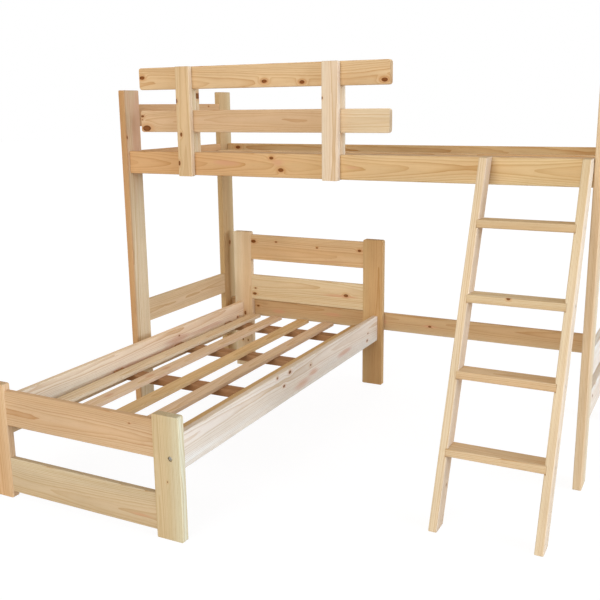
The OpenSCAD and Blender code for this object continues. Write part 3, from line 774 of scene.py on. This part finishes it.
def pine(node, index):
    """A pine material for one board, cut from its own part of its own log."""
    chance = random.Random(FIRST_SEED + index)
    material = bpy.data.materials.new("pine_" + node)
    material.use_nodes = True
    tree = material.node_tree
    space = Space(tree, node)
    log = Log(node, space, chance)
    nearest, swell = knot_fields(node, space, chance)
    if swell is not None:
        log.distance = log.distance + swell
    figure = Figure(log)
    eye = None
    if nearest is not None:
        eye, rim = add_eyes(figure, log, space, nearest)
    tone = tone_field(node, space, log, chance.choice(DRAWN_TONES))
    colour = add_blushes(node, figure.colour.vector("MULTIPLY", tone), space, log, eye)

    end = sawn_ends(node, space)
    rough = figure.ring.ramp(0.0, 1.0, EARLY_ROUGH, LATE_ROUGH)
    rough = rough + figure.fibre * FIBRE_ROUGHER + end * END_ROUGHER
    relief = figure.fibre * FIBRE_RISE + figure.ring * RING_RISE - figure.canal * CANAL_SINK
    if nearest is not None:
        rough = rough - eye * EYE_SMOOTHER
        relief = relief - rim * RIM_SINK
    bump = log.place.node("ShaderNodeBump", {}, Strength=BUMP_STRENGTH, Distance=BUMP_HEIGHT, Height=relief)
    shader = tree.nodes["Principled BSDF"]
    feed(tree, shader.inputs["Base Color"], colour.scaled(end.ramp(0.0, 1.0, 1.0, END_LEVEL)))
    feed(tree, shader.inputs["Roughness"], rough)
    feed(tree, shader.inputs["Normal"], log.place.out(bump))
    shader.inputs["Specular IOR Level"].default_value = PINE_SHINE
    return material


print("a board's draws are seeded with", FIRST_SEED, "and its number")

# %% [markdown]
# Whatever isn't a bolt, a nut or a screw is wood. The boards are numbered in the order of their
# names, and the number seeds a board's draws, so it keeps its figure from run to run.

# %% Give every board its pine
wooden = [n for n in sorted(nodes) if not n.endswith(("bolts", "nuts", "screws"))]
for number, node in enumerate(wooden):
    board = nodes[node]
    board.data.materials.clear()
    board.data.materials.append(pine(node, number))
print("gave pine to", len(wooden), "boards")

# %% [markdown]
# ## Zinc plated steel
#
# The fasteners are small and half hidden in their holes. A dull grey metal with fine turning
# marks is enough, with a faint yellow cast in places, as zinc plating has. The same kind of
# noise gives both: few features a metre make the cast, and very many make the marks.

# %% Steel
STEEL = linear(176, 174, 168)
STEEL_WARM = linear(168, 158, 132)
CLOUDS = (90.0, 90.0, 90.0)     # features a metre along X, Y and Z
CLOUD_LEVELS = (0.4, 0.7)       # of their noise, between which the warm cast fades in
TURNING_MARKS = (1400.0, 1400.0, 300.0)
MARKS_SPAN = (0.2, 0.8)         # of their noise
STEEL_ROUGH = (0.28, 0.46)      # how rough the steel is at the two ends of the span
MARKS_STRENGTH = 0.2
MARKS_DEPTH = 0.0002


def zinc():
    """Zinc plated steel, for every fastener."""
    material = bpy.data.materials.new("zinc_steel")
    material.use_nodes = True
    tree = material.node_tree
    shader = tree.nodes["Principled BSDF"]
    start = Field(tree, None)
    place = start.out(start.node("ShaderNodeTexCoord", {}), "Object")
    cloud = place.noise(CLOUDS, detail=3.0)
    marks = place.noise(TURNING_MARKS, detail=2.0)
    feed(tree, shader.inputs["Base Color"], cloud.ramp(*CLOUD_LEVELS).mixed(STEEL, STEEL_WARM))
    feed(tree, shader.inputs["Roughness"], marks.ramp(*MARKS_SPAN, *STEEL_ROUGH))
    shader.inputs["Metallic"].default_value = 1.0
    bump = place.node("ShaderNodeBump", {}, Strength=MARKS_STRENGTH, Distance=MARKS_DEPTH, Height=marks)
    feed(tree, shader.inputs["Normal"], place.out(bump))
    return material


steel = zinc()
for node in nodes:
    if node not in wooden:
        nodes[node].data.materials.clear()
        nodes[node].data.materials.append(steel)
print("gave steel to", len(nodes) - len(wooden), "sets of fasteners")

# %% [markdown]
# ## Bolts and screws
#
# In the frame a bolt is a stepped rod. A real one has a chamfered head with a hexagon socket
# for its key, and a thread at its far end; a wood screw has a cross recess, a coarse thread
# and a point. Each kind is modelled once, standing on its head's face at the origin, and a
# copy is then laid on every bolt or screw that the frame has. So the script first finds those:
# a node's mesh is loose triangles, which are merged and then followed from edge to edge.

# %% Find the fasteners in the frame
SAME_PLACE = 1e-5               # points closer than this are one


def solids(node):
    """The separate solids of one node, each as a list of its corner points."""
    copy = bmesh.new()
    copy.from_mesh(nodes[node].data)
    bmesh.ops.remove_doubles(copy, verts=copy.verts, dist=SAME_PLACE)
    waiting = set(copy.verts)
    found = []
    while waiting:
        edge = [waiting.pop()]
        points = []
        while edge:
            corner = edge.pop()
            points.append(corner.co.copy())
            for link in corner.link_edges:
                other = link.other_vert(corner)
                if other in waiting:
                    waiting.remove(other)
                    edge.append(other)
        found.append(points)
    copy.free()
    return found


print("loft_bolts holds", len(solids("loft_bolts")), "bolts")

# %% [markdown]
# A fastener's solid is long, and its head is the wide end. So the longest side of the box round
# its points is its axis, and the end whose points lie further off the axis is the head. The
# head's height is where the first points lie that are as near the axis as the rod's.

# %% Measure each fastener
class Fastener:
    """Where one bolt or screw lies: its head's middle, its direction and its measures."""

    def __init__(self, points):
        low = Vector([min(p[k] for p in points) for k in range(3)])
        high = Vector([max(p[k] for p in points) for k in range(3)])
        middle = (low + high) / 2
        size = high - low
        long_way = max(range(3), key=lambda k: size[k])
        axis = Vector([1.0 if k == long_way else 0.0 for k in range(3)])
        self.length = size[long_way]
        half = self.length / 2

        def off_axis(point):
            return ((point - middle) - axis * (point - middle).dot(axis)).length

        def radius_at(end):
            return max(off_axis(p) for p in points if abs((p - middle).dot(axis) - end) < SAME_PLACE)

        self.direction = axis if radius_at(-half) > radius_at(half) else -axis
        self.head = middle - self.direction * half
        self.head_radius = radius_at((self.head - middle).dot(axis))
        self.rod_radius = radius_at((middle - self.head).dot(axis))
        self.head_height = min((p - self.head).dot(self.direction) for p in points
                               if abs(off_axis(p) - self.rod_radius) < SAME_PLACE)

    def placed(self, master, name):
        """A copy of the modelled fastener, laid here with its own mesh."""
        mesh = master.data.copy()
        turn = Vector((0, 0, 1)).rotation_difference(self.direction).to_matrix().to_4x4()
        mesh.transform(Matrix.Translation(self.head) @ turn)
        copy = bpy.data.objects.new(name, mesh)
        bpy.context.scene.collection.objects.link(copy)
        return copy


fasteners = {node: [Fastener(points) for points in solids(node)]
             for node in sorted(nodes) if node.endswith(("bolts", "screws"))}
for node, group in fasteners.items():
    first = group[0]
    length, head, rod = (round(measure * 1000, 1) for measure in
                         (first.length, first.head_radius * 2, first.rod_radius * 2))
    print(node, len(group), "of", length, "mm, head", head, "mm wide, rod", rod, "mm thick")

# %% [markdown]
# ## Shaping a mesh
#
# A mesh can be shaped in code as by hand: start from a primitive, go to edit mode, select faces
# or edges by where they are, and run the same operators that the keys and menus call. An
# operator acts on all that is selected, so each tool here first deselects what it doesn't want.

# %% Tools for shaping
SIDES = 24                      # of every round thing
FACES_UP = 0.9                  # the least upward part of a far face's normal


def cylinder(name, radius, low, high, sides=SIDES):
    """A closed cylinder about Z, between two heights."""
    bpy.ops.object.select_all(action="DESELECT")
    bpy.ops.mesh.primitive_cylinder_add(vertices=sides, radius=radius, depth=high - low,
                                        location=(0, 0, (low + high) / 2))
    return primitive_made(name)


def primitive_made(name):
    """Name the primitive just added, and put its place and size into its mesh."""
    piece = bpy.context.object
    piece.name = name
    bpy.ops.object.transform_apply(location=True, rotation=True, scale=True)
    return piece


def leave_edit_mode():
    if bpy.context.mode == "EDIT_MESH":
        bpy.ops.object.mode_set(mode="OBJECT")


def select_only(pieces):
    """Back in object mode, select these pieces alone, the first of them active."""
    leave_edit_mode()
    bpy.ops.object.select_all(action="DESELECT")
    for piece in pieces:
        piece.select_set(True)
    bpy.context.view_layer.objects.active = pieces[0]


def pick(piece, kind, test):
    """Go to edit mode and select just the faces or edges that pass a test."""
    if bpy.context.mode != "EDIT_MESH":
        bpy.ops.object.mode_set(mode="EDIT")
    bpy.ops.mesh.select_mode(type=kind)
    bpy.ops.mesh.select_all(action="DESELECT")
    mesh = bmesh.from_edit_mesh(piece.data)
    for part in [p for p in (mesh.faces if kind == "FACE" else mesh.edges) if test(p)]:
        part.select_set(True)
    bmesh.update_edit_mesh(piece.data)


def far_face(face):
    return face.normal.z > FACES_UP


def pull(distance):
    """Extrude the chosen face along Z."""
    bpy.ops.mesh.extrude_region_move(TRANSFORM_OT_translate={"value": (0, 0, distance)})


def narrow(share, height):
    """Shrink what is chosen toward the Z axis."""
    bpy.ops.transform.resize(value=(share, share, 1), center_override=(0, 0, height))


print("round things have", SIDES, "sides")

# %% [markdown]
# A thread is a helix. Swept round the rod as one, it would take many faces for a thing that is
# seldom seen. Here rings are cut into the rod, and each is moved off the axis a little further
# round, which reads as a thread from any usual distance.

# %% Tools for threads
NEAR = 1e-6                     # slack when faces and edges are found by their heights
LEVEL = 1e-7                    # an edge that rises by less than this lies level


def ring_cuts(piece, low, high, cuts):
    """Divide the lengthwise edges between two heights, twice over, into (cuts + 1) squared rings."""
    def lengthwise(edge):
        inside = all(low - NEAR < v.co.z < high + NEAR for v in edge.verts)
        return inside and abs(edge.verts[0].co.z - edge.verts[1].co.z) > LEVEL

    for _ in range(2):
        pick(piece, "EDGE", lengthwise)
        bpy.ops.mesh.subdivide(number_cuts=cuts)


def cut_thread(piece, low, high, pitch, depth):
    """Move each ring of the rod off its axis, once round for each pitch: that is a thread."""
    leave_edit_mode()
    for vertex in piece.data.vertices:
        z = vertex.co.z
        if low < z < high:
            full = min(1.0, (z - low) / pitch, (high - z) / pitch)
            radius = math.hypot(vertex.co.x, vertex.co.y)
            thinner = 1 - full * depth / 2 / radius
            angle = 2 * math.pi * z / pitch
            vertex.co.x = vertex.co.x * thinner + full * depth / 2 * math.cos(angle)
            vertex.co.y = vertex.co.y * thinner + full * depth / 2 * math.sin(angle)


print("edges are found to", NEAR * 1000, "mm")

# %% [markdown]
# A socket or a recess is pressed into a head by a punch. The same is done here: a tool is
# modelled in the shape of the hole, and a Boolean modifier takes it out of the head.

# %% A tool for recesses
def carve(piece, tool):
    """Take a tool's shape out of a piece, and remove the tool."""
    select_only([piece])
    carving = piece.modifiers.new("carve", "BOOLEAN")
    carving.operation = "DIFFERENCE"
    carving.solver = "EXACT"
    carving.object = tool
    bpy.ops.object.modifier_apply(modifier=carving.name)
    bpy.data.objects.remove(tool)
    print("carved", piece.name, "which now has", len(piece.data.polygons), "faces")


# %% [markdown]
# ## The bolt
#
# The bolt is an M8 with its usual pitch, pulled out of its own head in three steps: the plain
# rod, the thread and a narrower end. Its socket is cut last, by a six-sided tool whose end is
# poked out to a point, as the drill leaves it.

# %% Model the bolt
KEY_SIDES = 6
KEY_ACROSS = 0.0070             # the socket's width across its corners
KEY_DEEP = 0.0040
BOLT_PITCH = 0.00125
BOLT_THREAD = 0.030             # how much of the rod is threaded
BOLT_DEPTH = BOLT_PITCH * 0.6   # of the thread
BOLT_CUTS = 11
BOLT_END = 0.8                  # the last pitch narrows to this share
RIM_CHAMFER = 0.0008
CHAMFER_STEPS = 3
KEY_START = -0.001              # the tool starts above the head
KEY_POINT = 0.0012


def model_bolt(sample):
    """A bolt with the measures of one in the frame, its head's face at the origin."""
    bolt = cylinder("bolt", sample.head_radius, 0, sample.head_height)
    pick(bolt, "EDGE", lambda e: all(v.co.z < NEAR for v in e.verts))
    bpy.ops.mesh.bevel(offset=RIM_CHAMFER, segments=CHAMFER_STEPS, affect="EDGES")
    pick(bolt, "FACE", far_face)
    bpy.ops.mesh.inset(thickness=sample.head_radius - sample.rod_radius)
    thread_start = sample.length - BOLT_THREAD
    pull(thread_start - sample.head_height)
    pull(BOLT_THREAD - BOLT_PITCH)
    pull(BOLT_PITCH)
    narrow(BOLT_END, sample.length)
    ring_cuts(bolt, thread_start, sample.length - BOLT_PITCH, BOLT_CUTS)
    cut_thread(bolt, thread_start, sample.length - BOLT_PITCH, BOLT_PITCH, BOLT_DEPTH)
    socket = cylinder("key", KEY_ACROSS / 2, KEY_START, KEY_DEEP, sides=KEY_SIDES)
    pick(socket, "FACE", far_face)
    bpy.ops.mesh.poke(offset=KEY_POINT)
    carve(bolt, socket)
    return bolt


bolt = model_bolt(fasteners["loft_bolts"][0])
print("a bolt has", len(bolt.data.polygons), "faces")

# %% [markdown]
# ## The screws
#
# A wood screw starts from a cone, its countersunk head. Its recess is a plain cross: two
# tapered bars are carved out of the head, one after the other.

# %% Model the screws
SCREW_PITCH = 0.0026
SCREW_DEPTH = 0.0010            # of the thread
SCREW_CUTS = 10
SCREW_PLAIN = 0.35              # share of a screw's length with no thread
SCREW_POINT = 0.0050
SCREW_TIP = 0.05                # the point narrows to this share
CROSS_ARM = 0.0056              # the recess, from end to end
CROSS_WIDTH = 0.0011
CROSS_DEEP = 0.0024
CROSS_FLOOR = 0.45              # the recess narrows to this share


def cross_bar(turned):
    """One bar of the recess, narrower at its bottom."""
    arm, width = (CROSS_WIDTH, CROSS_ARM) if turned else (CROSS_ARM, CROSS_WIDTH)
    bpy.ops.object.select_all(action="DESELECT")
    bpy.ops.mesh.primitive_cube_add(size=1, location=(0, 0, 0))
    bar = bpy.context.object
    bar.scale = (arm, width, 2 * CROSS_DEEP)
    bar = primitive_made("cross_bar")
    pick(bar, "FACE", far_face)
    narrow(CROSS_FLOOR, CROSS_DEEP)
    return bar


def model_screw(sample):
    """A wood screw with the measures of one in the frame, its head's face at the origin."""
    bpy.ops.object.select_all(action="DESELECT")
    bpy.ops.mesh.primitive_cone_add(vertices=SIDES, radius1=sample.head_radius, radius2=sample.rod_radius,
                                    depth=sample.head_height, location=(0, 0, sample.head_height / 2))
    screw = primitive_made("screw")
    thread_start = sample.length * SCREW_PLAIN
    thread_end = sample.length - SCREW_POINT
    pick(screw, "FACE", far_face)
    pull(thread_start - sample.head_height)
    pull(thread_end - thread_start)
    pull(SCREW_POINT)
    narrow(SCREW_TIP, sample.length)
    ring_cuts(screw, thread_start, thread_end, SCREW_CUTS)
    cut_thread(screw, thread_start, thread_end, SCREW_PITCH, SCREW_DEPTH)
    carve(screw, cross_bar(False))
    carve(screw, cross_bar(True))
    return screw


print("a screw's recess is", CROSS_ARM * 1000, "mm from end to end")

# %% [markdown]
# ## A copy on every fastener
#
# Each kind of fastener is modelled once and laid on all of its places. The copies of one node
# are joined to one piece, which then takes that node's place: it rides on the same body, and
# the plain solids are hidden. Screws differ in length from node to node, so each gets its own.

# %% Lay a copy on every fastener
SMOOTH_BELOW = math.radians(40)     # edges blunter than this are shaded round

for node, group in fasteners.items():
    master = bolt if node.endswith("bolts") else model_screw(group[0])
    select_only([master])
    bpy.ops.object.shade_smooth_by_angle(angle=SMOOTH_BELOW)
    copies = [fastener.placed(master, node + "_threaded") for fastener in group]
    select_only(copies)
    bpy.ops.object.join()
    copies[0].data.materials.clear()
    copies[0].data.materials.append(steel)
    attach(copies[0], bodies[node])
    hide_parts(node)
    if master is not bolt:
        bpy.data.objects.remove(master)
    print(node, "has", len(group), "copies and", len(copies[0].data.polygons), "faces")
bpy.data.objects.remove(bolt)

# %% [markdown]
# ## Floor and backdrop
#
# The bed stands in plain white. The floor is a large pale plane. To the camera it is mostly its
# own white, so that no horizon shows, with the rest left as paint that takes the bed's shadow.
# The world is white to the camera and in reflections, and a soft, warm grey as a light.

# %% Floor and world
FLOOR_SIZE = 60.0
FLOOR_HEIGHT = -0.0005          # just under the feet
FLOOR_OWN_WHITE = 0.80          # how much of the floor's look is its own white
FLOOR_GLOW = 1.14               # how bright that white is: with the paint it comes to plain white
FLOOR_PAINT = (0.68, 0.68, 0.68, 1)
WHITE = (1, 1, 1, 1)
AMBIENT = (0.52, 0.475, 0.445, 1)

bpy.ops.mesh.primitive_plane_add(size=FLOOR_SIZE, location=(0, 0, FLOOR_HEIGHT))
floor = bpy.context.object
floor.name = "floor"


def seen(tree):
    """1 where a ray comes from the camera or from a mirror-like bounce, and 0 elsewhere."""
    start = Field(tree, None)
    path = start.node("ShaderNodeLightPath", {})
    rays = [start.out(path, name) for name in ("Is Camera Ray", "Is Glossy Ray", "Is Transmission Ray")]
    return (rays[0] + rays[1] + rays[2]).smaller(1.0)


floor_paint = bpy.data.materials.new("floor_paint")
floor_paint.use_nodes = True
tree = floor_paint.node_tree
tree.nodes.clear()
share = seen(tree) * FLOOR_OWN_WHITE
paint = share.node("ShaderNodeBsdfDiffuse", {}, Color=FLOOR_PAINT)
glow = share.node("ShaderNodeEmission", {}, Color=WHITE, Strength=FLOOR_GLOW)
both = share.node("ShaderNodeMixShader", {})
feed(tree, both.inputs[0], share)
tree.links.new(paint.outputs[0], both.inputs[1])
tree.links.new(glow.outputs[0], both.inputs[2])
output = share.node("ShaderNodeOutputMaterial", {})
tree.links.new(both.outputs[0], output.inputs["Surface"])
floor.data.materials.append(floor_paint)

world = bpy.data.worlds.new("studio")
bpy.context.scene.world = world
world.use_nodes = True
tree = world.node_tree
background = tree.nodes["Background"]
feed(tree, background.inputs["Color"], seen(tree).mixed(AMBIENT, WHITE))
background.inputs["Strength"].default_value = 1.0
print("floor", FLOOR_SIZE, "m wide, world", AMBIENT[:3], "as a light")

# %% [markdown]
# ## Lamps
#
# The photograph has a soft light from the front, and a broad cool window far to the right,
# whose shine turns the right-hand faces almost white. A sun lights all of the bed alike,
# whatever its size, and a wide one has soft shadows. So three wide suns do: one is the front
# light, one the window, and a weak one from behind keeps the back from going dull.

# %% Lamps
SUNS = (                        # the name, where the light goes, strength, colour, width in degrees
    ("front_sun", (0.10, 1.0, -0.30), 1.55, (0.985, 0.99, 1.0), 40),
    ("window_sun", (-1.0, 0.02, -0.08), 4.7, (0.61, 0.74, 1.0), 50),
    ("back_fill", (0.5, -1.0, -0.35), 0.7, (1.0, 0.98, 0.95), 60),
)

for name, toward, strength, colour, width in SUNS:
    data = bpy.data.lights.new(name, "SUN")
    data.energy = strength
    data.color = colour
    data.angle = math.radians(width)
    lamp = bpy.data.objects.new(name, data)
    lamp.rotation_euler = Vector(toward).to_track_quat("-Z", "Y").to_euler()
    bpy.context.scene.collection.objects.link(lamp)
    print(name, "of strength", strength, "and", width, "degrees wide")

bpy.context.scene.view_settings.view_transform = "Standard"

# %% [markdown]
# ## Sizes
#
# The looks must not change the bed's size.

# %% Sizes
print("the looks are done")
